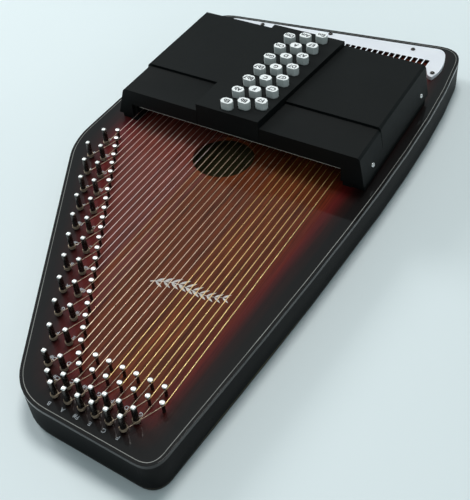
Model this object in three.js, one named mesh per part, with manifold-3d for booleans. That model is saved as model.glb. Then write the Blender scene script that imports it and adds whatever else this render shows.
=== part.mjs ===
// A chorded zither, lying on its back: a flat lacquered case with 36 strings, and a bank of 21
// sprung chord bars under a moulded cover. Millimetres. X runs across the strings, with the bass
// side at +X, Y runs along them towards the tail, Z is up, and the back rests on z = 0.
import * as THREE from "three";
import { mergeVertices } from "three/addons/utils/BufferGeometryUtils.js";
import Module from "manifold-3d";

const wasm = await Module();
wasm.setup();

// Case
const caseDepth = 32.3;
const backThickness = 3;
const boardThickness = 3.5;
const sideThickness = 6;
const purflingInset = 2.5;
const purflingWidth = 0.8;
const purflingDepth = 1;
const soundHole = { x: -1.6, y: 23.6, radius: 29 };
const fitGap = 0.3;
const beyond = 300;

// Inside the case
const braceDepth = 16;
const braceWidth = 6;
const braceFrontY = -55;
const braceRearY = 115;
const pinBlockBack = { x: -70, y: 60 };
const pinBlockFront = { x: 42, y: -200 };
const tailBlockLine = { y: 209, slope: 0.065 };

// Strings, counted from the bass side. The first 13 end at the straight front rows of pins, and
// the others at the slanted rows along the treble side.
const stringCount = 36;
const frontCount = 13;
const stringPitch = 6.15;
const bassStringX = 109.7;
const stringRise = 9.2;
const stringSize = 0.8;

// Pins
const guideRadius = 1.2;
const guideHeadRadius = 2.2;
const guideRise = 11.3;
const guideOffset = 1.9;
const guideRowEven = -237.7;
const guideRowOdd = -225.6;
const guideSlantStart = -230.1;
const guideSlantStep = 10.63;
const tuningRadius = 2.4;
const tuningRise = 18;
const tuningReach = { x: -18.1, y: -26 };
const tuningReachNear = { x: -7.9, y: -28.3 };
const tuningReachCorner = { x: -14.3, y: -19 };
const tuningSlantFar = { x: -16, y: -24 };
const tuningSlantNear = { x: -8.2, y: -11.8 };
const pinHoleRadius = 2.9;
const pinRootDepth = 6.5;
const tunerRows = { front: -267.5, back: -250.5, endMargin: 4, startMargin: 9 };
const tunerStrip = { width: 19, lead: 13, tail: 16 };
const guideStrip = { width: 4, lead: 2, endMargin: 3 };

// Chord bars and buttons
const barCount = 21;
const barPitch = 6.67;
const barWidth = 5;
const barHeight = 11;
const feltHeight = 4;
const feltWidth = 4;
const feltOverhang = 0.65;
const barTravel = 4;
const firstBarY = 41.2;
const columnX = [-4, 10.1, 24.3];
const buttonLength = 11.6;
const buttonWidth = 8.6;
const buttonChamfer = 2.6;
const buttonTopZ = 83.5;
const buttonCapHeight = 17;
const stemLength = 8;
const stemWidth = 4.8;

// Covers over the bars
const coverFrontY = 32.7;
const coverBackY = 183.7;
const coverStepY = 77;
const coverFrontTop = 69.2;
const coverRearTop = 71.7;
const coverBottom = 39.5;
const skirtBottom = 53;
const coverWall = 2;
const coverTrebleX = -117.2;
const coverBassX = 131.2;
const coverTrebleDraft = 9.3;
const coverBassDraft = 5;
const coverBassTaper = 2;
const coverCorner = 2;
const stringWayMargin = 4;
const stripTop = 76.4;
const stripTrebleX = -33.2;
const stripBassFrontX = 32.4;
const stripBassBackX = 45;
const stripFloor = 62.5;
const buttonGap = 0.7;

// Bar holders
const holderWidth = 9;
const holderTrebleX = -115.6;
const holderBassX = 114.5;
const holderHeight = 31;
const holderMargin = 5.5;
const footInset = 1;
const slotGap = 0.35;
const slotFloor = 1.6;

// Tail. The comb line joins the closed ends of the anchor plate's slots.
const combLine = { y: 239, slope: 0.0623 };
const tailLine = { y: 268.4, slope: 0.1376 };
const plateRise = 3.7;
const plateTrebleMargin = 12;
const plateBassMargin = 4;
const plateCorner = 5;
const slotLength = 8;
const slotWidth = 2.8;
const rodWidth = 1.6;
const rodBottom = 0.2;
const rodHeight = 1.3;
const rodSetback = 1.2;
const bridgeWidth = 5;
const bridgeSetback = 20;
const stringOverrun = 1.5;

const boardTop = caseDepth;
const boardUnder = caseDepth - boardThickness;
const stringZ = boardTop + stringRise;
const feltBottom = stringZ + stringSize / 2 + barTravel + fitGap;
const barBottom = feltBottom + feltHeight;
const barTop = barBottom + barHeight;
const trebleStringX = bassStringX - (stringCount - 1) * stringPitch;

const lacquer = { color: 0x0b0a0b, roughness: 0.12, metalness: 0 };
const sunburst = { color: 0x5a2216, roughness: 0.14, metalness: 0 };
const maple = { color: 0xb98e5c, roughness: 0.6, metalness: 0 };
const ivory = { color: 0xd9d4c6, roughness: 0.4, metalness: 0 };
const nickel = { color: 0xc4c6c8, roughness: 0.22, metalness: 1 };
const wire = { color: 0xc2a26a, roughness: 0.3, metalness: 1 };
const blackPlastic = { color: 0x121213, roughness: 0.42, metalness: 0 };
const whitePlastic = { color: 0xeeeae0, roughness: 0.3, metalness: 0 };
const barWood = { color: 0x2a2320, roughness: 0.5, metalness: 0 };

const zither = new THREE.Group();

function addMesh(name, geometry, finish) {
  const mesh = new THREE.Mesh(geometry, new THREE.MeshStandardMaterial(finish));
  mesh.name = name;
  zither.add(mesh);
  return mesh;
}

// Joining and cutting

function toSolid(geometry) {
  const bare = geometry.clone();
  bare.deleteAttribute("normal");
  bare.deleteAttribute("uv");
  const merged = mergeVertices(bare, 1e-4);
  const vertProperties = new Float32Array(merged.attributes.position.array);
  const triVerts = new Uint32Array(merged.index.array);
  return new wasm.Manifold(new wasm.Mesh({ numProp: 3, vertProperties, triVerts }));
}

function toGeometry(solid) {
  const { vertProperties, triVerts } = solid.getMesh();
  const geometry = new THREE.BufferGeometry();
  geometry.setAttribute("position", new THREE.BufferAttribute(vertProperties, 3));
  geometry.setIndex(new THREE.BufferAttribute(triVerts, 1));
  geometry.computeVertexNormals();
  return geometry;
}

function join(geometries) {
  return geometries.map(toSolid).reduce((whole, piece) => whole.add(piece));
}

function cut(body, tools) {
  return tools.reduce((left, tool) => left.subtract(toSolid(tool)), body);
}

// Simple shapes

function box(x0, x1, y0, y1, z0, z1) {
  const shape = new THREE.BoxGeometry(x1 - x0, y1 - y0, z1 - z0);
  return shape.translate((x0 + x1) / 2, (y0 + y1) / 2, (z0 + z1) / 2);
}

function post(x, y, z0, z1, radius, sides) {
  const shape = new THREE.CylinderGeometry(radius, radius, z1 - z0, sides);
  return shape.rotateX(Math.PI / 2).translate(x, y, (z0 + z1) / 2);
}

function plate(outline, z0, z1) {
  const shape = new THREE.Shape(outline);
  const solid = new THREE.ExtrudeGeometry(shape, { depth: z1 - z0, bevelEnabled: false });
  return solid.translate(0, 0, z0);
}

// A profile drawn in X and Z, run along Y.
function channel(profile, y0, y1) {
  const shape = new THREE.Shape(profile);
  const solid = new THREE.ExtrudeGeometry(shape, { depth: y1 - y0, bevelEnabled: false });
  return solid.rotateX(Math.PI / 2).translate(0, y1, 0);
}

// A profile drawn in Y and Z, run along X.
function fin(profile, x0, x1) {
  const shape = new THREE.Shape(profile);
  const solid = new THREE.ExtrudeGeometry(shape, { depth: x1 - x0, bevelEnabled: false });
  return solid.rotateX(Math.PI / 2).rotateZ(Math.PI / 2).translate(x0, 0, 0);
}

// A bar of rectangular section from one point in plan to another.
function strut(from, to, width, z0, z1) {
  const run = new THREE.Vector2().subVectors(to, from);
  const solid = new THREE.BoxGeometry(run.length(), width, z1 - z0);
  solid.rotateZ(run.angle());
  return solid.translate((from.x + to.x) / 2, (from.y + to.y) / 2, (z0 + z1) / 2);
}

function point(x, y) {
  return new THREE.Vector2(x, y);
}

// An outline moved inwards by a distance, point by point. The outline runs anticlockwise.
function inset(outline, distance) {
  return outline.map((here, index) => {
    const before = outline[(index + outline.length - 1) % outline.length];
    const after = outline[(index + 1) % outline.length];
    const entry = new THREE.Vector2().subVectors(here, before).normalize();
    const exit = new THREE.Vector2().subVectors(after, here).normalize();
    const normal = point(-entry.y - exit.y, entry.x + exit.x).normalize();
    const stretch = distance / Math.max(0.3, normal.dot(point(-entry.y, entry.x)));
    return here.clone().addScaledVector(normal, stretch);
  });
}

// The case in plan: a long convex bass side, a slanted tail, a short treble side, and a slanted
// side that follows the shortening strings down to the front.
function caseOutline() {
  const path = new THREE.Shape();
  path.moveTo(129.7, -262.1);
  path.bezierCurveTo(142.5, -88, 158.9, 127.4, 138.4, 255.5);
  path.quadraticCurveTo(134.2, 284, 107.6, 279.6);
  path.lineTo(-117.9, 248);
  path.quadraticCurveTo(-147.1, 243.9, -147.1, 212.4);
  path.lineTo(-147.1, 6.4);
  path.quadraticCurveTo(-147.1, -17.8, -134.9, -39.1);
  path.lineTo(-12.6, -252.6);
  path.quadraticCurveTo(1.6, -277.5, 30.3, -278.6);
  path.lineTo(111.7, -281.9);
  path.quadraticCurveTo(129.7, -282.6, 129.7, -262.1);
  const outline = path.getPoints(9);
  outline.pop();
  return outline;
}

const outline = caseOutline();

// Strings and pins in plan

function stringX(index) {
  return bassStringX - index * stringPitch;
}

function isOdd(index) {
  return index % 2 === 1;
}

function guidePin(index) {
  const slanted = guideSlantStart + (index - frontCount) * guideSlantStep;
  const straight = isOdd(index) ? guideRowOdd : guideRowEven;
  return point(stringX(index) - guideOffset, index < frontCount ? straight : slanted);
}

function tuningReachOf(index) {
  if (index === frontCount - 1) {
    return tuningReachCorner;
  }
  if (index < frontCount) {
    return isOdd(index) ? tuningReachNear : tuningReach;
  }
  return isOdd(index) ? tuningSlantNear : tuningSlantFar;
}

function tuningPin(index) {
  const reach = tuningReachOf(index);
  return point(stringX(index) + reach.x, guidePin(index).y + reach.y);
}

const strings = Array.from({ length: stringCount }, (_, index) => index);

// The roots that tie each set of pins together, buried in the pin block.
function tuningRoots(z0, z1, spare) {
  const slantStart = tuningPin(frontCount + 1).add(tuningPin(frontCount)).multiplyScalar(0.5);
  const slantEnd = tuningPin(stringCount - 2).add(tuningPin(stringCount - 1)).multiplyScalar(0.5);
  const run = new THREE.Vector2().subVectors(slantEnd, slantStart).normalize();
  slantEnd.addScaledVector(run, tunerStrip.lead + spare);
  slantStart.addScaledVector(run, -tunerStrip.tail);
  const left = tuningPin(frontCount).x - tunerRows.startMargin;
  const right = tuningPin(1).x + tunerRows.endMargin + spare;
  const rows = box(left, right, tunerRows.front - spare, tunerRows.back + spare, z0, z1);
  return [rows, strut(slantStart, slantEnd, tunerStrip.width + 2 * spare, z0, z1)];
}

function guideRoots(z0, z1, spare) {
  const slantStart = guidePin(frontCount);
  const slantEnd = guidePin(stringCount - 1);
  const run = new THREE.Vector2().subVectors(slantEnd, slantStart).normalize();
  slantEnd.addScaledVector(run, guideStrip.lead + spare);
  const half = guideStrip.width / 2;
  const left = slantStart.x - half;
  const right = guidePin(0).x + guideStrip.endMargin + spare;
  const rows = box(left, right, guideRowEven - half - spare, guideRowOdd + half + spare, z0, z1);
  return [rows, strut(slantStart, slantEnd, guideStrip.width + 2 * spare, z0, z1)];
}

const rootBottom = boardUnder - pinRootDepth;
const rootTop = boardUnder - fitGap;

// Case

function addCase() {
  const inner = inset(outline, sideThickness);
  const core = inset(outline, sideThickness + fitGap);
  addMesh("back_board", plate(outline, 0, backThickness), lacquer);

  const hollow = plate(inner, backThickness - 1, boardUnder + 1);
  const sides = cut(toSolid(plate(outline, backThickness, boardUnder)), [hollow]);
  addMesh("case_sides", toGeometry(sides), lacquer);

  const coreSolid = () => toSolid(plate(core, backThickness, boardUnder));
  const openMiddle = [
    point(pinBlockBack.x, pinBlockBack.y),
    point(pinBlockFront.x, pinBlockFront.y),
    point(beyond, pinBlockFront.y),
    point(beyond, 2 * beyond),
    point(-beyond, 2 * beyond),
    point(-beyond, pinBlockBack.y),
  ];
  let pinBlock = cut(coreSolid(), [plate(openMiddle, backThickness - 1, boardUnder + 1)]);
  pinBlock = cut(pinBlock, tuningRoots(rootBottom, boardUnder + 1, fitGap));
  pinBlock = cut(pinBlock, guideRoots(rootBottom, boardUnder + 1, fitGap));
  addMesh("pin_block", toGeometry(pinBlock), maple);

  const openFront = [
    point(-beyond, -2 * beyond),
    point(beyond, -2 * beyond),
    point(beyond, tailBlockY(beyond)),
    point(-beyond, tailBlockY(-beyond)),
  ];
  const tailBlock = cut(coreSolid(), [plate(openFront, backThickness - 1, boardUnder + 1)]);
  addMesh("tail_block", toGeometry(tailBlock), maple);

  addBrace("brace_front", braceFrontY);
  addBrace("brace_rear", braceRearY);
}

function tailBlockY(x) {
  return tailBlockLine.y + (x - bassStringX) * tailBlockLine.slope;
}

// A brace spans the case between its sides, tight under the soundboard.
function addBrace(name, y) {
  const half = braceWidth / 2;
  const low = boardUnder - braceDepth;
  const span = box(-beyond, beyond, y - half, y + half, low, boardUnder);
  const insideCase = toSolid(plate(inset(outline, sideThickness + fitGap), low, boardUnder));
  const brace = insideCase.intersect(toSolid(span));
  const blocked = box(-beyond, braceStartX(y), y - braceWidth, y + braceWidth, 0, caseDepth);
  addMesh(name, toGeometry(cut(brace, [blocked])), maple);
}

// Where a brace has to start so that it clears the slanted pin block.
function braceStartX(y) {
  const behind = pinBlockBack.y - y;
  const slant = (pinBlockFront.x - pinBlockBack.x) / (pinBlockBack.y - pinBlockFront.y);
  return behind > 0 ? pinBlockBack.x + behind * slant + braceWidth : -beyond;
}

function addSoundboard() {
  const groove = boardTop - purflingDepth;
  const grooveOuter = inset(outline, purflingInset);
  const grooveInner = inset(outline, purflingInset + purflingWidth);
  const ring = (z0, z1, spare) => {
    const outer = toSolid(plate(inset(grooveOuter, -spare), z0, z1));
    return cut(outer, [plate(inset(grooveInner, spare), z0 - 1, z1 + 1)]);
  };
  const holes = strings.flatMap((index) => {
    const guide = guidePin(index);
    const tuning = tuningPin(index);
    const small = post(guide.x, guide.y, boardUnder - 1, boardTop + 1, guideRadius + 0.4, 6);
    const large = post(tuning.x, tuning.y, boardUnder - 1, boardTop + 1, pinHoleRadius, 6);
    return [small, large];
  });
  const mouth = post(soundHole.x, soundHole.y, boardUnder - 1, boardTop + 1, soundHole.radius, 40);
  let board = cut(toSolid(plate(outline, boardUnder, boardTop)), [mouth, ...holes]);
  board = board.subtract(ring(groove, boardTop + 1, 0.1));
  addMesh("soundboard", toGeometry(board), sunburst);
  addMesh("purfling", toGeometry(ring(groove, boardTop, 0)), ivory);
}

// Pins and strings

function addPins() {
  const guides = strings.flatMap((index) => {
    const { x, y } = guidePin(index);
    const top = boardTop + guideRise;
    const shaft = post(x, y, rootBottom, top, guideRadius, 8);
    return [shaft, post(x, y, top - 1, top + 0.2, guideHeadRadius, 8)];
  });
  addMesh("guide_pins", toGeometry(join([...guides, ...guideRoots(rootBottom, rootTop, 0)])), nickel);

  const tuners = strings.map((index) => {
    const { x, y } = tuningPin(index);
    return post(x, y, rootBottom, boardTop + tuningRise, tuningRadius, 8);
  });
  const roots = tuningRoots(rootBottom, rootTop, 0);
  addMesh("tuning_pins", toGeometry(join([...tuners, ...roots])), nickel);
}

function combY(x) {
  return combLine.y + (x - bassStringX) * combLine.slope;
}

function tailY(x) {
  return tailLine.y + (x - bassStringX) * tailLine.slope;
}

function rodY(x) {
  return combY(x) - rodSetback;
}

// Where a string leaves the bridge.
function bridgeEndY(x) {
  return combY(x) - bridgeSetback + bridgeWidth / 2 + stringOverrun;
}

// Each string runs level from the bridge to its guide pin, turns there, and ends at the near side
// of its tuning pin. This is its outline in plan.
function stringPlan(index) {
  const half = stringSize / 2;
  const x = stringX(index);
  const turn = point(x, guidePin(index).y);
  const end = tuningPin(index).add(point(tuningRadius + 0.6 + half, 0));
  const run = new THREE.Vector2().subVectors(end, turn).normalize();
  const side = point(-run.y * half, run.x * half);
  const mitre = half * Math.tan((Math.PI / 2 + run.angle() - 2 * Math.PI) / 2);
  return [
    point(x + half, bridgeEndY(x)),
    point(x - half, bridgeEndY(x)),
    point(x - half, turn.y - mitre),
    point(end.x - side.x, end.y - side.y),
    point(end.x + side.x, end.y + side.y),
    point(x + half, turn.y + mitre),
  ];
}

// Behind the bridge a string falls to the rod that holds the ball ends in the anchor plate.
function stringTail(index) {
  const half = stringSize / 2 - 0.05;
  const x = stringX(index);
  const top = bridgeEndY(x) - stringOverrun + 0.5;
  const foot = boardTop + rodBottom + rodHeight / 2;
  const profile = [
    point(top, stringZ - half),
    point(rodY(x), foot - half),
    point(rodY(x), foot + half),
    point(top, stringZ + half),
  ];
  return fin(profile, x - half, x + half);
}

function anchorRod(width, z0, z1) {
  const from = point(trebleStringX - 1, rodY(trebleStringX));
  const to = point(bassStringX + 1, rodY(bassStringX));
  return strut(from, to, width, z0, z1);
}

function addStrings() {
  const half = stringSize / 2;
  const runs = strings.map((index) => plate(stringPlan(index), stringZ - half, stringZ + half));
  const tails = strings.map(stringTail);
  const low = boardTop + rodBottom;
  const rod = anchorRod(rodWidth, low, low + rodHeight);
  addMesh("strings", toGeometry(join([...runs, ...tails, rod])), wire);
}

// Tail

// The anchor plate in plan: a comb of slots along its front, and a rounded tab at the bass end.
function anchorOutline() {
  const left = trebleStringX - plateTrebleMargin;
  const right = bassStringX + plateBassMargin;
  const path = new THREE.Shape();
  path.moveTo(left, combY(left) - slotLength);
  path.lineTo(right, combY(right) - slotLength);
  path.lineTo(117.2, 224.5);
  path.quadraticCurveTo(119.5, 217.4, 124.6, 218.4);
  path.quadraticCurveTo(127.4, 225, 127.7, 233.3);
  path.quadraticCurveTo(128.2, 244, 124.2, 255.7);
  path.quadraticCurveTo(120.6, 269.9, 110.5, tailY(110.5));
  path.lineTo(left + plateCorner, tailY(left + plateCorner));
  path.quadraticCurveTo(left, tailY(left), left, tailY(left) - plateCorner);
  return path.getPoints(7);
}

function addTail() {
  const top = boardTop + plateRise;
  const slots = strings.flatMap((index) => {
    const x = stringX(index);
    const half = slotWidth / 2;
    const end = combY(x) - half;
    const way = box(x - half, x + half, end - slotLength - 1, end, boardTop - 1, top + 1);
    return [way, post(x, end, boardTop - 1, top + 1, half, 8)];
  });
  const channel = rodWidth + 2 * fitGap;
  const rodWay = anchorRod(channel, boardTop - 1, boardTop + rodBottom + rodHeight + fitGap);
  const comb = cut(toSolid(plate(anchorOutline(), boardTop, top)), [...slots, rodWay]);
  addMesh("anchor_plate", toGeometry(comb), nickel);

  const from = point(trebleStringX - 5, combY(trebleStringX) - bridgeSetback);
  const to = point(bassStringX + 3, combY(bassStringX) - bridgeSetback);
  const bridgeTop = stringZ - stringSize / 2 - 0.1;
  addMesh("string_bridge", strut(from, to, bridgeWidth, boardTop, bridgeTop), ivory);
}

// Chord bars: felt below, wood above, and a button on a narrow stem that passes the covers.

function buttonOutline(x, y, spare) {
  const long = buttonLength / 2 + spare;
  const wide = buttonWidth / 2 + spare;
  const nip = buttonChamfer;
  return [
    point(x - long + nip, y - wide),
    point(x + long - nip, y - wide),
    point(x + long, y - wide + nip),
    point(x + long, y + wide - nip),
    point(x + long - nip, y + wide),
    point(x - long + nip, y + wide),
    point(x - long, y + wide - nip),
    point(x - long, y - wide + nip),
  ];
}

function barY(bar) {
  return firstBarY + bar * barPitch;
}

function addChord(bar) {
  const y = barY(bar);
  const x = columnX[bar % columnX.length];
  const number = String(bar + 1).padStart(2, "0");
  const start = holderTrebleX + slotFloor + slotGap;
  const end = holderBassX + holderWidth - slotFloor - slotGap;
  const wood = box(start, end, y - barWidth / 2, y + barWidth / 2, barBottom, barTop);
  const feltStart = trebleStringX - feltOverhang;
  const feltEnd = bassStringX + feltOverhang;
  const felt = box(feltStart, feltEnd, y - feltWidth / 2, y + feltWidth / 2, feltBottom, barBottom);
  addMesh(`chord_bar_${number}`, toGeometry(join([wood, felt])), barWood);

  const capBottom = buttonTopZ - buttonCapHeight;
  const half = stemLength / 2;
  const stem = box(x - half, x + half, y - stemWidth / 2, y + stemWidth / 2, barTop, capBottom + 1);
  const cap = plate(buttonOutline(x, y, 0), capBottom, buttonTopZ);
  addMesh(`chord_button_${number}`, toGeometry(join([stem, cap])), whitePlastic);
}

// How far the bass end of the covers has run in by a given place along the strings.
function bassTaper(y) {
  return coverBassTaper * (y - coverFrontY) / (coverBackY - coverFrontY);
}

// Holders: a slotted block at each end of the bars, on a foot that carries the covers' end wall.
function addHolder(name, x, openSide) {
  const outer = x + holderWidth;
  const front = barY(0) - holderMargin;
  const back = barY(barCount - 1) + holderMargin;
  const trebleTip = coverTrebleX - coverTrebleDraft + footInset;
  const bassTip = coverBassX + coverBassDraft - footInset;
  const footFront = front + footInset;
  const footBack = back - footInset;
  const middle = x + holderWidth / 2;
  const treblePlan = [
    point(middle, footFront),
    point(middle, footBack),
    point(trebleTip, footBack),
    point(trebleTip, footFront),
  ];
  const bassPlan = [
    point(middle, footFront),
    point(bassTip - bassTaper(footFront), footFront),
    point(bassTip - bassTaper(footBack), footBack),
    point(middle, footBack),
  ];
  const foot = plate(openSide > 0 ? treblePlan : bassPlan, boardTop, coverBottom);
  const block = join([box(x, outer, front, back, boardTop, boardTop + holderHeight), foot]);
  const slots = Array.from({ length: barCount }, (_, bar) => {
    const half = barWidth / 2 + slotGap;
    const floor = barBottom - barTravel - fitGap;
    const x0 = openSide > 0 ? x + slotFloor : x - 1;
    const x1 = openSide > 0 ? outer + 1 : outer - slotFloor;
    const ceiling = boardTop + holderHeight + 1;
    return box(x0, x1, barY(bar) - half, barY(bar) + half, floor, ceiling);
  });
  addMesh(name, toGeometry(cut(block, slots)), blackPlastic);
}

// Covers

// The covers' section across the bars, with drafted ends and eased top corners.
function coverProfile(top, wall) {
  const bottom = wall > 0 ? coverBottom - 1 : coverBottom;
  const peak = top - wall;
  const left = coverTrebleX + wall;
  const right = coverBassX - wall;
  const ease = coverCorner;
  return [
    point(left - coverTrebleDraft, bottom),
    point(right + coverBassDraft, bottom),
    point(right + 0.2, peak - ease),
    point(right - ease, peak),
    point(left + ease, peak),
    point(left - 0.2, peak - ease),
  ];
}

// The whole hood over the bars, before it is parted at the button strip. Its bass end runs in
// slightly towards the tail.
function hood() {
  const front = channel(coverProfile(coverFrontTop, 0), coverFrontY, coverStepY);
  const rear = channel(coverProfile(coverRearTop, 0), coverStepY, coverBackY);
  const stepInside = coverStepY + coverWall;
  const frontY = coverFrontY + coverWall;
  const frontInside = channel(coverProfile(coverFrontTop, coverWall), frontY, stepInside);
  const backY = coverBackY - coverWall;
  const rearInside = channel(coverProfile(coverRearTop, coverWall), stepInside, backY);
  const left = trebleStringX - stringWayMargin;
  const right = bassStringX + stringWayMargin;
  const low = coverBottom - 1;
  const stringWay = box(left, right, coverFrontY - 5, coverBackY + 5, low, skirtBottom);
  const straight = cut(join([front, rear]), [frontInside, rearInside, stringWay]);
  return straight.warp((corner) => {
    corner[0] -= corner[0] > bassStringX + 2 * stringWayMargin ? bassTaper(corner[1]) : 0;
  });
}

function stripPlan(spare) {
  return [
    point(stripTrebleX - spare, coverFrontY - spare),
    point(stripBassFrontX + spare, coverFrontY - spare),
    point(stripBassBackX + spare, coverBackY + spare),
    point(stripTrebleX - spare, coverBackY + spare),
  ];
}

function addCovers() {
  const parting = plate(stripPlan(fitGap + 0.05), 0, beyond);
  const treblePart = box(-beyond, stripTrebleX, 0, beyond, 0, beyond);
  const bassPart = box(0, beyond, 0, beyond, 0, beyond);
  const whole = cut(hood(), [parting]);
  addMesh("cover_treble", toGeometry(whole.intersect(toSolid(treblePart))), blackPlastic);
  addMesh("cover_bass", toGeometry(whole.intersect(toSolid(bassPart))), blackPlastic);

  const outer = toSolid(plate(stripPlan(0), stripFloor, stripTop));
  const frontY = coverFrontY + coverWall;
  const backY = coverBackY - coverWall;
  const frontSkirt = box(stripTrebleX, stripBassFrontX, coverFrontY, frontY, skirtBottom, stripTop);
  const backSkirt = box(stripTrebleX, stripBassBackX, backY, coverBackY, skirtBottom, stripTop);
  const inside = plate(inset(stripPlan(0), coverWall), stripFloor - 1, stripTop - coverWall);
  const wells = Array.from({ length: barCount }, (_, bar) => {
    const plan = buttonOutline(columnX[bar % columnX.length], barY(bar), buttonGap);
    return plate(plan, stripTop - coverWall - 1, stripTop + 1);
  });
  const lid = cut(outer, [inside, ...wells]);
  const strip = lid.add(toSolid(frontSkirt)).add(toSolid(backSkirt));
  addMesh("button_cover", toGeometry(strip), blackPlastic);
}

addCase();
addSoundboard();
addPins();
addStrings();
addTail();
for (let bar = 0; bar < barCount; bar += 1) {
  addChord(bar);
}
addHolder("bar_holder_treble", holderTrebleX, 1);
addHolder("bar_holder_bass", holderBassX, -1);
addCovers();

export default zither;
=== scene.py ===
import math

import bmesh
import bpy
from mathutils import Matrix, Vector


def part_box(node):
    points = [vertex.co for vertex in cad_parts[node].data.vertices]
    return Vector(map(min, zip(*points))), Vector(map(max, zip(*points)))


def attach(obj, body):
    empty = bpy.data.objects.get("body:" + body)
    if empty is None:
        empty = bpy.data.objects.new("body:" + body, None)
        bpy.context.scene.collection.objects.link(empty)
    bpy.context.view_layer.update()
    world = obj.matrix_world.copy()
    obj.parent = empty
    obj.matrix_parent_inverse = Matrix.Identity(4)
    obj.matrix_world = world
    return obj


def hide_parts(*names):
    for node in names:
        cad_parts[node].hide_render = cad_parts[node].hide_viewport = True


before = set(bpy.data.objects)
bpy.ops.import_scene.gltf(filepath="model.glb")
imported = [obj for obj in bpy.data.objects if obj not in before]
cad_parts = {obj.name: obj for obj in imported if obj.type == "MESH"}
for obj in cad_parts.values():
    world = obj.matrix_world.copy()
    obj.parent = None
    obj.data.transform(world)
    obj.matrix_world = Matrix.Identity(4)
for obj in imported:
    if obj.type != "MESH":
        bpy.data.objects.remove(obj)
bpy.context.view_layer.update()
print("frame loaded")

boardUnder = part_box("soundboard")[0][2]
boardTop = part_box("soundboard")[1][2]
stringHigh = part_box("strings")[1][2] - 0.0004


# Camera: a three-quarter view from over the front end of the bass side

cameraSetup = {
    "place": (0.3616, -0.4960, 0.5380),
    "lookAt": (0.0706, -0.0772, 0.0323),
    "roll": -5.86,
    "lens": 41.63,
    "sensorHeight": 24.0,
    "clipStart": 0.01,
}


def addCamera(setup):
    data = bpy.data.cameras.new("camera")
    data.sensor_fit = "VERTICAL"
    data.sensor_height = setup["sensorHeight"]
    data.lens = setup["lens"]
    data.clip_start = setup["clipStart"]
    camera = bpy.data.objects.new("camera", data)
    aim = Vector(setup["lookAt"]) - Vector(setup["place"])
    turn = aim.to_track_quat("-Z", "Y").to_matrix().to_4x4()
    roll = Matrix.Rotation(math.radians(setup["roll"]), 4, "Z")
    camera.matrix_world = Matrix.Translation(setup["place"]) @ turn @ roll
    bpy.context.scene.collection.objects.link(camera)
    bpy.context.scene.camera = camera


lightAim = (0, 0, 0.03)
lightSetup = {
    "key": {"place": (-0.15, 0.65, 2.4), "size": 0.8, "power": 30, "colour": (1.0, 1.0, 0.98)},
    "left": {"place": (-2.3, 0.5, 1.5), "size": 1.1, "power": 30, "colour": (0.97, 0.99, 1.0)},
    "front": {"place": (1.2, -1.3, 1.9), "size": 1.4, "power": 3, "colour": (0.93, 0.97, 1.0)},
}


def addLights(setup):
    for name, light in setup.items():
        data = bpy.data.lights.new(name, "AREA")
        data.shape = "DISK"
        data.size = light["size"]
        data.energy = light["power"]
        data.color = light["colour"]
        lamp = bpy.data.objects.new(name, data)
        lamp.location = light["place"]
        aim = Vector(lightAim) - Vector(light["place"])
        lamp.rotation_euler = aim.to_track_quat("-Z", "Y").to_euler()
        bpy.context.scene.collection.objects.link(lamp)


worldSetup = {"horizon": (0.66, 0.76, 0.78, 1), "zenith": (0.24, 0.29, 0.30, 1), "zenithAt": 0.55}


def addWorld(setup):
    world = bpy.data.worlds.new("studio")
    world.use_nodes = True
    bpy.context.scene.world = world
    bpy.context.scene.view_settings.view_transform = "Standard"
    tree = world.node_tree
    place = tree.nodes.new("ShaderNodeTexCoord")
    split = tree.nodes.new("ShaderNodeSeparateXYZ")
    shade = tree.nodes.new("ShaderNodeValToRGB")
    shade.color_ramp.elements[0].color = setup["horizon"]
    shade.color_ramp.elements[1].color = setup["zenith"]
    shade.color_ramp.elements[1].position = setup["zenithAt"]
    tree.links.new(place.outputs["Generated"], split.inputs[0])
    tree.links.new(split.outputs["Z"], shade.inputs["Fac"])
    tree.links.new(shade.outputs["Color"], tree.nodes["Background"].inputs["Color"])


# Materials

def newMaterial(name, **settings):
    material = bpy.data.materials.new(name)
    material.use_nodes = True
    for socket, value in settings.items():
        shaderOf(material).inputs[socket.replace("_", " ")].default_value = value
    return material


def shaderOf(material):
    return material.node_tree.nodes["Principled BSDF"]


def addNode(material, kind, inputs=None, **values):
    node = material.node_tree.nodes.new(kind)
    for key, value in values.items():
        setattr(node, key, value)
    for socket, value in (inputs or {}).items():
        if isinstance(value, bpy.types.NodeSocket):
            material.node_tree.links.new(value, node.inputs[socket])
        else:
            node.inputs[socket].default_value = value
    return node


def link(material, start, socket):
    material.node_tree.links.new(start, shaderOf(material).inputs[socket])


def objectPoint(material):
    return addNode(material, "ShaderNodeTexCoord").outputs["Object"]


def noise(material, stretch, detail=3.0, roughness=0.55):
    scaled = addNode(material, "ShaderNodeMapping", {"Vector": objectPoint(material), "Scale": stretch})
    sockets = {"Vector": scaled.outputs[0], "Scale": 1.0, "Detail": detail, "Roughness": roughness}
    return addNode(material, "ShaderNodeTexNoise", sockets).outputs["Fac"]


def ramp(material, value, *stops):
    node = addNode(material, "ShaderNodeValToRGB", {"Fac": value})
    bar = node.color_ramp
    while len(bar.elements) < len(stops):
        bar.elements.new(0.5)
    for element, (place, colour) in zip(bar.elements, stops):
        element.position = place
        element.color = (*colour, 1.0)
    return node.outputs["Color"]


def mixColour(material, mode, amount, first, second):
    node = addNode(material, "ShaderNodeMix", data_type="RGBA", blend_type=mode)
    for socket, value in (("Factor", amount), ("A", first), ("B", second)):
        target = [s for s in node.inputs if s.name == socket and s.enabled][0]
        if isinstance(value, bpy.types.NodeSocket):
            material.node_tree.links.new(value, target)
        else:
            target.default_value = value
    return [s for s in node.outputs if s.enabled][0]


def bump(material, height, strength, distance):
    sockets = {"Height": height, "Strength": strength, "Distance": distance}
    node = addNode(material, "ShaderNodeBump", sockets)
    link(material, node.outputs["Normal"], "Normal")


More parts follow.
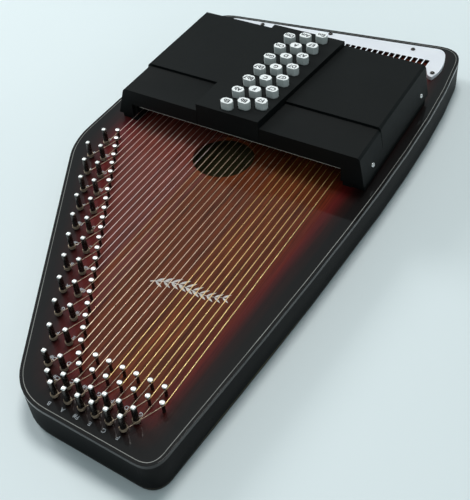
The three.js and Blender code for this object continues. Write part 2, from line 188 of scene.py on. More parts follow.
# Roughness that wanders between two values.
def spread(material, value, low, high):
    sockets = {"Value": value, "To Min": low, "To Max": high}
    node = addNode(material, "ShaderNodeMapRange", sockets)
    link(material, node.outputs["Result"], "Roughness")


def blackLacquer():
    material = newMaterial("blackLacquer", Coat_Weight=0.16, Coat_Roughness=0.12, Specular_IOR_Level=0.0)
    cloud = noise(material, (9, 9, 9))
    tint = ramp(material, cloud, (0.3, (0.0042, 0.0046, 0.0048)), (0.7, (0.0080, 0.0080, 0.0080)))
    link(material, tint, "Base Color")
    spread(material, noise(material, (60, 60, 60), 4), 0.28, 0.42)
    bump(material, noise(material, (160, 160, 160), 2), 0.12, 0.0003)
    return material


# The shading runs by the distance in from each side of the case: a point on the side, and the
# direction that points inwards from it.
burst = {
    "sides": (
        ((0.128, -0.240), (-0.998, 0.060)),
        ((0.1475, 0.080), (-1.0, 0.0)),
        ((0.138, 0.240), (-0.990, -0.120)),
        ((0.0, 0.2645), (0.139, -0.990)),
        ((-0.147, 0.100), (0.70, 0.0)),
        ((-0.070, -0.152), (0.60, 0.343)),
        ((0.060, -0.2795), (0.027, 0.68)),
    ),
    "reach": 0.11,
    "softness": 0.02,
}


def edgeDistance(material, setup):
    place = objectPoint(material)
    nearest = None
    for (x, y), (inX, inY) in setup["sides"]:
        sockets = {0: place, 1: (inX, inY, 0)}
        along = addNode(material, "ShaderNodeVectorMath", sockets, operation="DOT_PRODUCT")
        sockets = {0: along.outputs["Value"], 1: x * inX + y * inY}
        inwards = addNode(material, "ShaderNodeMath", sockets, operation="SUBTRACT").outputs[0]
        if nearest is None:
            nearest = inwards
        else:
            sockets = {0: nearest, 1: inwards, 2: setup["softness"]}
            nearest = addNode(material, "ShaderNodeMath", sockets, operation="SMOOTH_MIN").outputs[0]
    sockets = {"Value": nearest, "From Max": setup["reach"]}
    return addNode(material, "ShaderNodeMapRange", sockets).outputs["Result"]


def sunburstWood():
    material = newMaterial("sunburstWood", Coat_Weight=0.6, Coat_Roughness=0.06, Specular_IOR_Level=0.08)
    place = objectPoint(material)
    across = addNode(material, "ShaderNodeSeparateXYZ", {0: place}).outputs["X"]
    sockets = {"Value": across, "From Min": -0.15, "From Max": 0.15}
    across = addNode(material, "ShaderNodeMapRange", sockets).outputs["Result"]
    wander = noise(material, (30, 1.2, 30), 2)
    across = addNode(material, "ShaderNodeMath", {0: across, 1: wander}, operation="ADD").outputs[0]
    planks = ramp(
        material, across,
        (0.62, (0.150, 0.032, 0.022)),
        (1.04, (0.122, 0.027, 0.016)),
        (1.10, (0.215, 0.036, 0.008)),
        (1.20, (0.200, 0.034, 0.008)),
        (1.27, (0.130, 0.025, 0.005)),
        (1.42, (0.110, 0.022, 0.004)),
    )
    grain = noise(material, (1100, 30, 1100), 5, 0.62)
    lines = ramp(
        material, grain,
        (0.34, (0.30, 0.24, 0.22)),
        (0.46, (0.82, 0.78, 0.76)),
        (0.60, (1.25, 1.25, 1.25)),
    )
    wood = mixColour(material, "MULTIPLY", 0.9, planks, lines)
    bands = noise(material, (130, 2.2, 130), 3, 0.5)
    cloud = ramp(material, bands, (0.3, (0.72, 0.70, 0.70)), (0.7, (1.35, 1.38, 1.40)))
    wood = mixColour(material, "MULTIPLY", 0.9, wood, cloud)
    edge = edgeDistance(material, burst)
    stain = ramp(
        material, edge,
        (0.05, (0.010, 0.012, 0.015)),
        (0.12, (0.06, 0.05, 0.06)),
        (0.19, (0.20, 0.12, 0.14)),
        (0.27, (0.62, 0.50, 0.55)),
        (0.34, (0.95, 0.93, 0.95)),
        (0.50, (1.0, 1.0, 1.0)),
    )
    colour = mixColour(material, "MULTIPLY", 1.0, wood, stain)
    red = ramp(
        material, edge,
        (0.05, (0.0028, 0.0028, 0.0030)),
        (0.13, (0.010, 0.0024, 0.0028)),
        (0.21, (0.058, 0.003, 0.005)),
        (0.30, (0.020, 0.001, 0.001)),
        (0.42, (0.0, 0.0, 0.0)),
    )
    link(material, mixColour(material, "ADD", 1.0, colour, red), "Base Color")
    spread(material, grain, 0.34, 0.5)
    bump(material, grain, 0.08, 0.0001)
    return material


def bareWood():
    material = newMaterial("bareWood")
    grain = noise(material, (30, 420, 420), 4)
    tone = ramp(material, grain, (0.3, (0.30, 0.20, 0.10)), (0.7, (0.50, 0.36, 0.20)))
    link(material, tone, "Base Color")
    spread(material, grain, 0.5, 0.75)
    bump(material, grain, 0.3, 0.0002)
    return material


# The back board is lacquered outside and bare inside, told apart by which way a face looks.
# The bare inside is painted dark, as shade inside the case.
def backWoodShadedInside():
    material = newMaterial("backWoodShadedInside", Coat_Weight=0.25, Coat_Roughness=0.06, Specular_IOR_Level=0.14)
    grain = noise(material, (420, 18, 420), 4)
    bare = ramp(material, grain, (0.3, (0.07, 0.06, 0.026)), (0.7, (0.13, 0.11, 0.05)))
    facing = addNode(material, "ShaderNodeNewGeometry").outputs["Normal"]
    height = addNode(material, "ShaderNodeSeparateXYZ", {0: facing}).outputs["Z"]
    inside = ramp(material, height, (0.45, (0, 0, 0)), (0.6, (1, 1, 1)))
    black = (0.006, 0.0055, 0.006, 1)
    link(material, mixColour(material, "MIX", inside, black, bare), "Base Color")
    spread(material, noise(material, (70, 70, 70)), 0.2, 0.36)
    return material


def mouldedPlastic(name, dark, light, low, high, grainSize, depth, shine=0.3):
    material = newMaterial(name, Specular_IOR_Level=shine)
    cloud = noise(material, (22, 22, 22), 3)
    link(material, ramp(material, cloud, (0.3, dark), (0.7, light)), "Base Color")
    spread(material, noise(material, (90, 90, 90), 3), low, high)
    bump(material, noise(material, (grainSize,) * 3, 2), 0.35, depth)
    return material


def plating(name, dark, light, low, high):
    material = newMaterial(name, Metallic=1.0)
    cloud = noise(material, (240, 240, 240), 3)
    link(material, ramp(material, cloud, (0.3, dark), (0.7, light)), "Base Color")
    spread(material, noise(material, (900, 900, 900), 2), low, high)
    return material


# Wound wire shows fine turns along the string.
def wireMaterial(name, dark, light, turns):
    material = newMaterial(name, Metallic=1.0)
    sockets = {"Vector": objectPoint(material), "Scale": (0.01, turns, 0.01)}
    scaled = addNode(material, "ShaderNodeMapping", sockets)
    sockets = {"Vector": scaled.outputs[0], "Scale": 1.0}
    wave = addNode(material, "ShaderNodeTexWave", sockets, bands_direction="Y").outputs["Fac"]
    link(material, ramp(material, wave, (0.2, dark), (0.8, light)), "Base Color")
    spread(material, noise(material, (300, 300, 300), 2), 0.22, 0.4)
    bump(material, wave, 0.3, 0.0001)
    return material


def feltMaterial():
    material = newMaterial("felt", Sheen_Weight=0.6, Roughness=0.95)
    fibres = noise(material, (1500, 700, 1500), 5, 0.7)
    tone = ramp(material, fibres, (0.3, (0.30, 0.29, 0.26)), (0.7, (0.55, 0.53, 0.48)))
    link(material, tone, "Base Color")
    bump(material, fibres, 0.6, 0.0004)
    return material


# White-metal plate with a faint lilac cloud.
def anchorPlating():
    material = newMaterial("anchorPlating", Metallic=0.15, Specular_IOR_Level=0.5)
    cloud = noise(material, (26, 26, 26), 3)
    tone = ramp(material, cloud, (0.3, (0.80, 0.82, 0.88)), (0.7, (0.88, 0.90, 0.95)))
    link(material, tone, "Base Color")
    spread(material, noise(material, (120, 120, 120), 3), 0.3, 0.42)
    return material


def markPaint(name, colour, roughness, metallic=0.0):
    material = newMaterial(name, Metallic=metallic)
    fade = noise(material, (400, 400, 400), 3)
    worn = tuple(channel * 0.72 for channel in colour)
    link(material, ramp(material, fade, (0.3, worn), (0.6, colour)), "Base Color")
    spread(material, fade, roughness, roughness + 0.15)
    return material


# Shaping

crease = math.radians(38)
flatAngle = math.radians(1)
mergeGap = {"built": 1e-6, "node": 1e-5}
topGap = 1e-4


def newPiece(name, mesh, material, body="case", nodes=()):
    piece = bpy.data.objects.new(name, mesh)
    bpy.context.scene.collection.objects.link(piece)
    mesh.materials.clear()
    mesh.materials.append(material)
    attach(piece, body)
    if nodes:
        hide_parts(*nodes)
    return piece


# A CAD node that is shown as it is, with a finish.
def assignTo(node, material):
    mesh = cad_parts[node].data
    mesh.materials.clear()
    mesh.materials.append(material)


# The faces that pass a test get a second material.
def giveSecondMaterial(piece, material, chosen):
    piece.data.materials.append(material)
    for face in piece.data.polygons:
        if chosen(face):
            face.material_index = 1


# Painted light: the upward-facing faces above a height get a lighter material, standing in for the lamps
# lighting the tops.
def paintLitTop(piece, material, height):
    giveSecondMaterial(piece, material, lambda face: face.center.z > height and face.normal.z > 0.25)


def meshFrom(build, name, smooth=True):
    mesh = bpy.data.meshes.new(name)
    cage = bmesh.new()
    build(cage)
    bmesh.ops.remove_doubles(cage, verts=cage.verts, dist=mergeGap["built"])
    bmesh.ops.recalc_face_normals(cage, faces=cage.faces)
    cage.to_mesh(mesh)
    cage.free()
    for face in mesh.polygons:
        face.use_smooth = smooth
    mesh.set_sharp_from_angle(angle=crease)
    return mesh


def softenEdges(piece, width, segments=2, weighted=False):
    bevel = piece.modifiers.new("softenedEdges", "BEVEL")
    bevel.width = width
    bevel.segments = segments
    bevel.limit_method = "WEIGHT" if weighted else "ANGLE"
    bevel.angle_limit = crease
    bevel.harden_normals = True


# A CAD node's shape again, with its triangles merged and its edges softened.
def finishedNode(node, name, material, body="case", width=0.0006, segments=2):
    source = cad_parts[node].data

    def build(cage):
        cage.from_mesh(source)
        bmesh.ops.remove_doubles(cage, verts=cage.verts, dist=mergeGap["node"])
        bmesh.ops.dissolve_limit(cage, angle_limit=flatAngle, verts=cage.verts, edges=cage.edges)

    piece = newPiece(name, meshFrom(build, name), material, body, (node,))
    softenEdges(piece, width, segments)
    return piece


# The case's outline in plan, from the back board's top corners, anticlockwise.
def caseOutline():
    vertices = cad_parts["back_board"].data.vertices
    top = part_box("back_board")[1][2] - topGap
    corners = {(round(v.co.x, 5), round(v.co.y, 5)) for v in vertices if v.co.z > top}
    around = sorted(corners, key=lambda corner: math.atan2(corner[1], corner[0]))
    return [Vector(corner) for corner in around]


def insetOutline(outline, distance):
    moved = []
    for index, here in enumerate(outline):
        before = outline[index - 1]
        after = outline[(index + 1) % len(outline)]
        along = (after - before).normalized()
        moved.append(here + Vector((-along.y, along.x)) * distance)
    return moved


def circle(x, y, radius, count):
    angles = [2 * math.pi * step / count for step in range(count)]
    return [Vector((x + radius * math.cos(a), y + radius * math.sin(a))) for a in angles]


def middleOf(points):
    separate = {(round(point.x, 6), round(point.y, 6)): point for point in points}
    return sum(separate.values(), Vector((0, 0))) / len(separate)


# Centres of the tops of a node's pins, in plan.
pinSpan = 0.0056


def pinTops(node):
    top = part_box(node)[1][2] - topGap
    clusters = []
    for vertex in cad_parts[node].data.vertices:
        if vertex.co.z < top:
            continue
        here = Vector((vertex.co.x, vertex.co.y))
        for cluster in clusters:
            if (cluster[0] - here).length < pinSpan:
                cluster.append(here)
                break
        else:
            clusters.append([here])
    return [middleOf(cluster) for cluster in clusters]


# A closed band between two outlines.
def addRing(cage, outer, inner, low, high):
    count = len(outer)
    corners = ((outer, low), (outer, high), (inner, high), (inner, low))
    loops = [[cage.verts.new((p.x, p.y, z)) for p in loop] for loop, z in corners]
    for a, b in ((0, 1), (1, 2), (2, 3), (3, 0)):
        for step in range(count):
            after = (step + 1) % count
            cage.faces.new((loops[a][step], loops[a][after], loops[b][after], loops[b][step]))


# A closed turned shape: rings of (radius, height) from the foot to the top, round one axis. The
# rings numbered in square are ground to a square with worn corners.
squareShape = {"corner": 1.18, "flat": 0.86}


def addTurned(cage, centre, rings, sides, square=()):
    loops = []
    for index, (radius, height) in enumerate(rings):
        loop = []
        for step in range(sides):
            angle = 2 * math.pi * (step + 0.5) / sides
            reach = radius
            if index in square:
                folded = (angle + math.pi / 4) % (math.pi / 2) - math.pi / 4
                flat = radius * squareShape["flat"] / math.cos(folded)
                reach = min(radius * squareShape["corner"], flat)
            x = centre[0] + reach * math.cos(angle)
            y = centre[1] + reach * math.sin(angle)
            loop.append(cage.verts.new((x, y, height)))
        loops.append(loop)
    for lower, upper in zip(loops, loops[1:]):
        for step in range(sides):
            after = (step + 1) % sides
            cage.faces.new((lower[step], lower[after], upper[after], upper[step]))
    cage.faces.new(loops[-1])
    cage.faces.new(tuple(reversed(loops[0])))


# Case

boardSetup = {
    "hole": (-0.0016, 0.0236),
    "holeRadius": 0.029,
    "holeSides": 72,
    "edge": 0.0013,
    "rimAngle": 1,
    "lineInset": (0.0026, 0.0031),
    "lineDepth": 0.0006,
    "lineProud": 0.00008,
    "backEdge": 0.0012,
    "sideEdge": 0.0001,
}


def addCase(outline, black, sunburst, ivory, setup):
    finishedNode("back_board", "backBoard", backWoodShadedInside(), width=setup["backEdge"])
    finishedNode("case_sides", "caseSides", black, width=setup["sideEdge"], segments=1)
    mouth = circle(*setup["hole"], setup["holeRadius"], setup["holeSides"])

    def build(cage):
        edges = []
        for loop in (outline, mouth):
            ring = [cage.verts.new((p.x, p.y, boardTop)) for p in loop]
            edges += [cage.edges.new((ring[i - 1], ring[i])) for i in range(len(ring))]
        bmesh.ops.triangle_fill(cage, edges=edges, use_beauty=True)
        top = list(cage.faces)
        lowered = bmesh.ops.extrude_face_region(cage, geom=top, use_keep_orig=True)["geom"]
        moved = [part for part in lowered if isinstance(part, bmesh.types.BMVert)]
        bmesh.ops.translate(cage, verts=moved, vec=(0, 0, boardUnder - boardTop))
        weights = cage.edges.layers.float.new("bevel_weight_edge")
        for edge in cage.edges:
            level = all(v.co.z > boardTop - mergeGap["node"] for v in edge.verts)
            rim = len(edge.link_faces) == 2 and edge.calc_face_angle(0) > setup["rimAngle"]
            edge[weights] = 1.0 if level and rim else 0.0

    mesh = meshFrom(build, "soundboardTop")
    board = newPiece("soundboard_top", mesh, sunburst, nodes=("soundboard",))
    softenEdges(board, setup["edge"], 3, weighted=True)

    def buildLine(cage):
        outer, inner = (insetOutline(outline, inset) for inset in setup["lineInset"])
        addRing(cage, outer, inner, boardTop - setup["lineDepth"], boardTop + setup["lineProud"])

    mesh = meshFrom(buildLine, "purflingLine", False)
    newPiece("purflingLine", mesh, ivory, nodes=("purfling",))


# Pins, counted from the bass side. Each string passes its guide pin at the offset, and the tuning
# pins stand at a reach from that point, in two staggered rows.

pinSetup = {
    "offset": 0.0019,
    "frontCount": 13,
    "far": (-0.0181, -0.026),
    "near": (-0.0079, -0.0283),
    "corner": (-0.0143, -0.019),
    "slantFar": (-0.016, -0.024),
    "slantNear": (-0.0082, -0.0118),
}

# Each ring of a pin: the level it is measured from, its height there and its radius.
pinKinds = {
    "tuning_pins": {
        "name": "tuningPinSet",
        "sides": 16,
        "square": (5, 6, 7),
        "litTopFrom": 0.001,
        "rings": (
            ("under", -0.006, 0.0024),
            ("board", 0.0004, 0.0024),
            ("board", 0.0005, 0.00235),
            ("top", -0.0068, 0.00235),
            ("top", -0.0060, 0.0022),
            ("top", -0.0008, 0.0021),
            ("top", -0.0003, 0.0018),
            ("top", 0.0, 0.0011),
        ),
    },
    "guide_pins": {
        "name": "guidePinSet",
        "sides": 14,
        "square": (),
        "litTopFrom": 0.002,
        "rings": (
            ("under", -0.006, 0.0012),
            ("board", -0.001, 0.0012),
            ("board", 0.0001, 0.00135),
            ("top", -0.0014, 0.00135),
            ("top", -0.0012, 0.0020),
            ("top", -0.0009, 0.0021),
            ("top", -0.0004, 0.0019),
            ("top", 0.0, 0.0011),
        ),
    },
}


def tuningReach(index, setup):
    odd = index % 2 == 1
    if index == setup["frontCount"] - 1:
        return setup["corner"]
    if index < setup["frontCount"]:
        return setup["near"] if odd else setup["far"]
    return setup["slantNear"] if odd else setup["slantFar"]


def tuningCentres(guides, setup):
    centres = []
    for index, guide in enumerate(guides):
        x, y = tuningReach(index, setup)
        centres.append(Vector((guide.x + setup["offset"] + x, guide.y + y)))
    return centres


def addPins(node, centres, shaft, litPinTop, setup):
    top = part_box(node)[1][2]
    levels = {"under": boardUnder, "board": boardTop, "top": top}
    rings = [(radius, levels[level] + height) for level, height, radius in setup["rings"]]

    def build(cage):
        for centre in centres:
            addTurned(cage, centre, rings, setup["sides"], setup["square"])

    pins = newPiece(setup["name"], meshFrom(build, setup["name"]), shaft, nodes=(node,))
    # The pin shafts are darkened steel as painted shade, and the tops get lighter plating as a painted
    # highlight.
    paintLitTop(pins, litPinTop, top - setup["litTopFrom"])


# Strings. The comb line joins the closed ends of the anchor plate's slots.

combLine = {"x": 0.1097, "y": 0.239, "slope": 0.0623}


def combAt(x):
    return combLine["y"] + (x - combLine["x"]) * combLine["slope"]


wireSetup = {
    "rodSetback": 0.0012,
    "rodLift": 0.0009,
    "bridgeSetback": (0.017, 0.0225),
    "beforeGuide": 0.001,
    "pastGuide": 0.0012,
    "lean": 0.0004,
    "dip": 0.0001,
    "coilBefore": 0.0008,
    "coilSteps": 12,
    "coilRadius": 0.0029,
    "coilTurns": 3.4,
    "coilFoot": 0.0016,
    "coilRise": 0.0026,
    "coilWire": 0.0003,
}

# Name, strings, wire radius and finish.
stringGroups = (
    ("bassStrings", range(0, 9), 0.00039, "bass"),
    ("middleStrings", range(9, 20), 0.00031, "middle"),
    ("trebleStrings", range(20, 36), 0.00025, "treble"),
)


def pastGuide(x, guide, setup):
    return (x - setup["lean"], guide.y - setup["pastGuide"], stringHigh - setup["dip"])


# From the rod up to the bridge, then level to the guide pin and round its side.
def speakingRoute(guide, setup):
    x = guide.x + pinSetup["offset"]
    comb = combAt(x)
    rear, front = setup["bridgeSetback"]
    return [
        (x, comb - setup["rodSetback"], boardTop + setup["rodLift"]),
        (x, comb - rear, stringHigh),
        (x, comb - front, stringHigh),
        (x, guide.y + setup["beforeGuide"], stringHigh),
        pastGuide(x, guide, setup),
    ]


# The thinner end of the string, down to the tuning pin and round it in a coil.
def coilRoute(guide, tuner, setup):
    x = guide.x + pinSetup["offset"]
    points = [(x, guide.y + setup["coilBefore"], stringHigh), pastGuide(x, guide, setup)]
    steps = int(setup["coilTurns"] * setup["coilSteps"])
    for step in range(steps):
        turned = -2 * math.pi * step / setup["coilSteps"]
        height = boardTop + setup["coilFoot"] + setup["coilRise"] * (1 - step / steps)
        across = setup["coilRadius"] * math.cos(turned)
        along = setup["coilRadius"] * math.sin(turned)
        points.append((tuner.x + across, tuner.y + along, height))
    return points


def addWires(name, routes, radius, material):
    data = bpy.data.curves.new(name, "CURVE")
    data.dimensions = "3D"
    data.bevel_depth = radius
    data.bevel_resolution = 1
    data.use_fill_caps = True
    for route in routes:
        spline = data.splines.new("POLY")
        spline.points.add(len(route) - 1)
        for place, point in zip(route, spline.points):
            point.co = (*place, 1)
    data.materials.append(material)
    piece = bpy.data.objects.new(name, data)
    bpy.context.scene.collection.objects.link(piece)
    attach(piece, "case")
    return piece


def addStrings(guides, tuners, finishes, setup):
    for name, indices, radius, finish in stringGroups:
        routes = [speakingRoute(guides[index], setup) for index in indices]
        piece = addWires(name, routes, radius, finishes[finish])
        if indices[0] == 0:
            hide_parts("strings")
    coils = [coilRoute(guide, tuner, setup) for guide, tuner in zip(guides, tuners)]
    addWires("pinCoils", coils, setup["coilWire"], finishes["coil"])


# Marks: note letters by the tuning pins, and a leafy sprig

notes = "F G C D E F F# G A A# B C C# D D# E F F# G G# A A# B C C# D D# E F F# G G# A A# B C".split()
noteSetup = {
    "size": 0.0046,
    "weight": 0.00008,
    "lift": 0.00005,
    "inFront": (0.0, -0.0070),
    "behind": (-0.0012, 0.0064),
}
letterDepth = 0.00004


# Raised letters that read from the tail end.
def addText(name, words, place, setup, material, body):
    data = bpy.data.curves.new(name, "FONT")
    data.body = words
    data.size = setup["size"]
    data.align_x = "CENTER"
    data.align_y = "CENTER"
    data.extrude = letterDepth
    data.offset = setup["weight"]
    holder = bpy.data.objects.new(name + "Curve", data)
    bpy.context.scene.collection.objects.link(holder)
    shown = holder.evaluated_get(bpy.context.evaluated_depsgraph_get())
    mesh = bpy.data.meshes.new_from_object(shown)
    bpy.data.objects.remove(holder)
    mesh.transform(Matrix.Translation(place) @ Matrix.Rotation(math.pi, 4, "Z"))
    newPiece(name, mesh, material, body)


def addNotes(tuners, paint, setup):
    for index, (note, tuner) in enumerate(zip(notes, tuners)):
        frontRow = index < pinSetup["frontCount"] - 1 and index % 2 == 0
        x, y = setup["inFront"] if frontRow else setup["behind"]
        place = (tuner.x + x, tuner.y + y, boardTop + setup["lift"])
        addText(f"note_{index + 1:02d}", note, place, setup, paint, "case")


# A curved stem with paired leaves that shrink towards both ends.
sprigSetup = {
    "centre": (0.0605, -0.1315),
    "lift": 0.00006,
    "turn": 0.2,
    "length": 0.068,
    "sway": 0.0030,
    "stemSteps": 30,
    "stemHalf": 0.00055,
    "stemTaper": 1.2,
    "pairs": 10,
    "firstPair": 0.06,
    "pairSpan": 0.86,
    "largest": 0.35,
    "shrink": 0.5,
    "leafSteps": 8,
    "leafGap": 0.0006,
    "leafLength": 0.0100,
    "leafWidth": 0.0024,
    "leafBelly": 0.8,
    "lean": 0.62,
}


def addSprig(paint, setup):
    half = setup["length"] / 2

    def stem(part):
        return Vector((half * (2 * part - 1), setup["sway"] * math.sin(2 * math.pi * part)))

    def addStem(cage):
        steps = setup["stemSteps"]
        sides = ([], [])
        for step in range(steps + 1):
            here = stem(step / steps)
            thick = setup["stemHalf"] * (setup["stemTaper"] - step / steps)
            for side, sign in zip(sides, (1, -1)):
                side.append(cage.verts.new((here.x, here.y + sign * thick, 0)))
        upper, lower = sides
        for step in range(steps):
            cage.faces.new((upper[step], lower[step], lower[step + 1], upper[step + 1]))

    # Half of one leaf, between its rib and its edge.
    def addLeafHalf(cage, root, turn, size, side):
        rim = []
        for step in range(setup["leafSteps"] + 1):
            along = step / setup["leafSteps"]
            belly = side * setup["leafWidth"] / 2 * math.sin(math.pi * along ** setup["leafBelly"])
            spot = Vector((setup["leafGap"] + along * setup["leafLength"], belly)) * size
            rim.append(cage.verts.new((*(root + turn @ spot), 0)))
        cage.faces.new(rim)

    def build(cage):
        addStem(cage)
        for pair in range(setup["pairs"]):
            part = setup["firstPair"] + setup["pairSpan"] * pair / (setup["pairs"] - 1)
            size = 1.0 - setup["shrink"] * abs(part - setup["largest"])
            for sign in (1, -1):
                turn = Matrix.Rotation(sign * setup["lean"], 2)
                for side in (1, -1):
                    addLeafHalf(cage, stem(part), turn, size, side)

    mesh = meshFrom(build, "leafSprig", False)
    place = Matrix.Translation((*setup["centre"], boardTop + setup["lift"]))
    mesh.transform(place @ Matrix.Rotation(setup["turn"], 4, "Z"))
    newPiece("leafSprig", mesh, paint)


# Screws with a domed head and a recess in it; the dome's rings are in parts of the radius.

screwSetup = {
    "radius": 0.0024,
    "shank": 0.5,
    "depth": 0.004,
    "seat": 0.00005,
    "dome": ((1, 0.22), (0.82, 0.5), (0.45, 0.66), (0.3, 0.30)),
    "sides": 24,
}


def addScrew(name, place, axis, material, setup):
    radius = setup["radius"]
    shank = radius * setup["shank"]
    rings = [(shank, -setup["depth"]), (shank, 0), (radius, setup["seat"])]
    rings += [(radius * across, radius * up) for across, up in setup["dome"]]

    def build(cage):
        addTurned(cage, (0, 0), rings, setup["sides"])

    mesh = meshFrom(build, name)
    turn = Vector((0, 0, 1)).rotation_difference(Vector(axis)).to_matrix().to_4x4()
    mesh.transform(Matrix.Translation(place) @ turn)
    newPiece(name, mesh, material)


# Tail. The anchor plate's string slots are opened out to their full width and length, and their
# walls are painted black as shade in the slots.

tailSetup = {
    "edge": 0.0004,
    "screws": (
        (0.1227, 0.2248),
        (0.0887, 0.2573),
        (-0.0029, 0.2500),
        (-0.080, 0.2375),
        (-0.1125, 0.2285),
    ),
    "slotReach": 0.0018,
    "slotMouth": -0.0092,
    "slotClosed": -0.0018,
    "slotEnd": 0.0004,
    "slotSpread": 2.6,
    "slotHalf": 0.0024,
    "slotExtra": 0.0062,
    "wallBeside": 0.004,
    "wallBeyond": 0.001,
    "wallSlope": 0.5,
}


def openSlots(mesh, lines, setup):
    half = setup["slotHalf"]
    for vertex in mesh.vertices:
        place = vertex.co
        line = min(lines, key=lambda x: abs(x - place.x))
        beyond = place.y - combAt(line)
        across = place.x - line
        if abs(across) > setup["slotReach"] or not setup["slotMouth"] < beyond < setup["slotEnd"]:
            continue
        place.x = line + max(-half, min(half, across * setup["slotSpread"]))
        if beyond > setup["slotClosed"]:
            place.y += setup["slotExtra"]


def addTail(guides, plate, dark, ivory, setup):
    lines = [guide.x + pinSetup["offset"] for guide in guides]
    anchor = finishedNode("anchor_plate", "anchorPlate", plate, width=setup["edge"])
    openSlots(anchor.data, lines, setup)

    def isSlotWall(face):
        x, y, z = face.center
        inside = min(lines) - setup["wallBeside"] < x < max(lines) + setup["wallBeside"]
        near = y - combAt(x) < setup["slotExtra"] + setup["wallBeyond"]
        return inside and near and abs(face.normal.z) < setup["wallSlope"]

    # The slot walls get the darkened steel: painted shade in the slots.
    giveSecondMaterial(anchor, dark, isSlotWall)
    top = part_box("anchor_plate")[1][2]
    for number, (x, y) in enumerate(setup["screws"], 1):
        addScrew(f"plate_screw_{number}", (x, y, top), (0, 0, 1), dark, screwSetup)
    assignTo("string_bridge", ivory)


# Covers, with a screw at each corner of their ends

coverPieces = {"cover_treble": "trebleCover", "cover_bass": "bassCover", "button_cover": "buttonCover"}
endScrews = {
    "bass_screw": {
        "places": ((0.1343, 0.0538, 0.0483), (0.1328, 0.1674, 0.0479)),
        "axis": (1, 0, 0.19),
    },
    "treble_screw": {
        "places": ((-0.1238, 0.0538, 0.0483), (-0.1238, 0.1674, 0.0479)),
        "axis": (-1, 0, 0.34),
    },
}


def addCovers(black, nickel):
    for node, name in coverPieces.items():
        finishedNode(node, name, black, width=0.0009, segments=3)
    for node in ("bar_holder_treble", "bar_holder_bass"):
        assignTo(node, black)
    for name, end in endScrews.items():
        for number, place in enumerate(end["places"], 1):
            addScrew(f"{name}_{number}", place, end["axis"], nickel, screwSetup)


# Chord bars and buttons, each pair on its own body

chords = "Eb Bb F7 Ab F C7 Bb7 C G7 Eb7 G D7 Gm D A7 Cm A E7 Dm Am Em".split()
chordSetup = {
    "barEdge": 0.0004,
    "buttonEdge": 0.00022,
    "felt": 0.004,
    "size": 0.0062,
    "weight": 0.0002,
    "lift": 0.00002,
}


def addChord(number, chord, wood, felt, shadedButtonSide, litButtonTop, ink, setup):
    bar = f"chord_bar_{number:02d}"
    button = f"chord_button_{number:02d}"
    body = f"chord_{number:02d}"
    beam = finishedNode(bar, f"bar_{number:02d}", wood, body, setup["barEdge"], 1)
    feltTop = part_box(bar)[0][2] + setup["felt"]
    giveSecondMaterial(beam, felt, lambda face: face.center.z < feltTop)
    edge = setup["buttonEdge"]
    cap = finishedNode(button, f"button_{number:02d}", shadedButtonSide, body, edge, 1)
    # The top faces get the lighter copy of the plastic: painted light.
    paintLitTop(cap, litButtonTop, 0.0)
    low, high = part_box(button)
    place = ((low[0] + high[0]) / 2, (low[1] + high[1]) / 2, high[2] + setup["lift"])
    addText(f"chord_mark_{number:02d}", chord, place, setup, ink, body)


# Floor

floorSetup = {"size": 4, "drop": 0.0005, "low": (0.70, 0.77, 0.79), "high": (0.75, 0.82, 0.84)}


def addFloor(setup):
    def build(cage):
        bmesh.ops.create_grid(cage, x_segments=2, y_segments=2, size=setup["size"])

    mesh = meshFrom(build, "floor", False)
    material = newMaterial("paleFloor", Roughness=0.6)
    cloud = noise(material, (1.5, 1.5, 1.5), 2)
    link(material, ramp(material, cloud, (0.3, setup["low"]), (0.7, setup["high"])), "Base Color")
    mesh.materials.append(material)
    floor = bpy.data.objects.new("floor", mesh)
    floor.location.z = -setup["drop"]
    bpy.context.scene.collection.objects.link(floor)


addCamera(cameraSetup)
addLights(lightSetup)
addWorld(worldSetup)
addFloor(floorSetup)
print("camera, lights and floor")

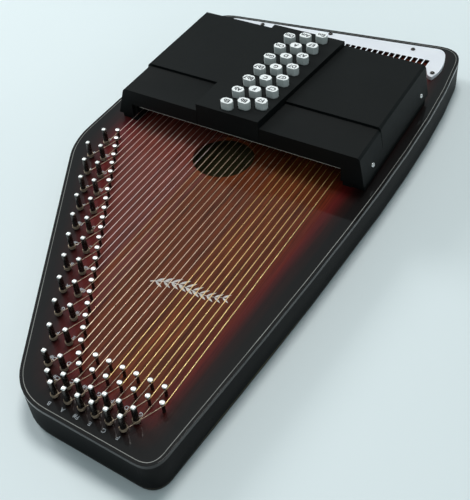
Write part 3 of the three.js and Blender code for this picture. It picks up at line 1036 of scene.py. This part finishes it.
black = blackLacquer()
cover = mouldedPlastic(
    "coverPlastic", (0.0020, 0.0030, 0.0031), (0.0030, 0.0042, 0.0043), 0.5, 0.62, 1400, 0.0001, 0.14
)
# Button plastic in two tones: the sides darker as painted shade, the tops lighter as painted light.
shadedButtonSide = mouldedPlastic(
    "buttonSidePaintedShade", (0.48, 0.51, 0.50), (0.57, 0.60, 0.59), 0.3, 0.42, 700, 0.00004, 0.4
)
litButtonTop = mouldedPlastic(
    "buttonTopPaintedLight", (0.82, 0.85, 0.85), (0.90, 0.92, 0.92), 0.3, 0.42, 700, 0.00004, 0.4
)
ivory = mouldedPlastic("inlayPlastic", (0.15, 0.15, 0.14), (0.34, 0.34, 0.32), 0.3, 0.45, 900, 0.00004)
nickel = plating("nickelPlate", (0.62, 0.62, 0.62), (0.76, 0.76, 0.75), 0.16, 0.26)
# Steel darkened as painted shade on the pin shafts and on the anchor plate's slot walls; the plate's
# screws use it too.
darkShadedSteel = plating("darkSteelPaintedShade", (0.045, 0.042, 0.040), (0.10, 0.09, 0.085), 0.2, 0.34)
# Lighter plating for the tops of the pins: a painted highlight where the tops catch the lamps.
litPinTop = plating("pinTopPaintedLight", (0.90, 0.90, 0.88), (0.98, 0.98, 0.96), 0.34, 0.5)
wires = {
    "bass": wireMaterial("bronzeWound", (0.66, 0.42, 0.16), (1.0, 0.76, 0.38), 2200),
    "middle": wireMaterial("paleWound", (0.66, 0.48, 0.34), (1.0, 0.80, 0.60), 2600),
    "treble": wireMaterial("plainSteel", (0.86, 0.66, 0.62), (1.0, 0.88, 0.84), 1200),
    "coil": wireMaterial("coilSteel", (0.24, 0.18, 0.13), (0.48, 0.38, 0.28), 1400),
}
bare = bareWood()
barWood = mouldedPlastic("barStain", (0.05, 0.035, 0.025), (0.10, 0.07, 0.05), 0.4, 0.6, 500, 0.0001)
felt = feltMaterial()
ink = markPaint("buttonInk", (0.03, 0.03, 0.035), 0.5)
print("materials")

addCase(caseOutline(), black, sunburstWood(), ivory, boardSetup)
for node in ("pin_block", "tail_block", "brace_front", "brace_rear"):
    assignTo(node, bare)
print("case")

guides = sorted(pinTops("guide_pins"), key=lambda centre: -centre.x)
tuners = tuningCentres(guides, pinSetup)
for node, centres in (("tuning_pins", tuners), ("guide_pins", guides)):
    addPins(node, centres, darkShadedSteel, litPinTop, pinKinds[node])
addStrings(guides, tuners, wires, wireSetup)
print("pins and strings", len(guides))

addTail(guides, anchorPlating(), darkShadedSteel, ivory, tailSetup)
addCovers(cover, nickel)
for number, chord in enumerate(chords, 1):
    addChord(number, chord, barWood, felt, shadedButtonSide, litButtonTop, ink, chordSetup)
print("covers and chords")

addNotes(tuners, markPaint("notePaint", (0.40, 0.42, 0.45), 0.4), noteSetup)
addSprig(markPaint("sprigSilver", (0.62, 0.60, 0.58), 0.3, 0.7), sprigSetup)
print("marks")
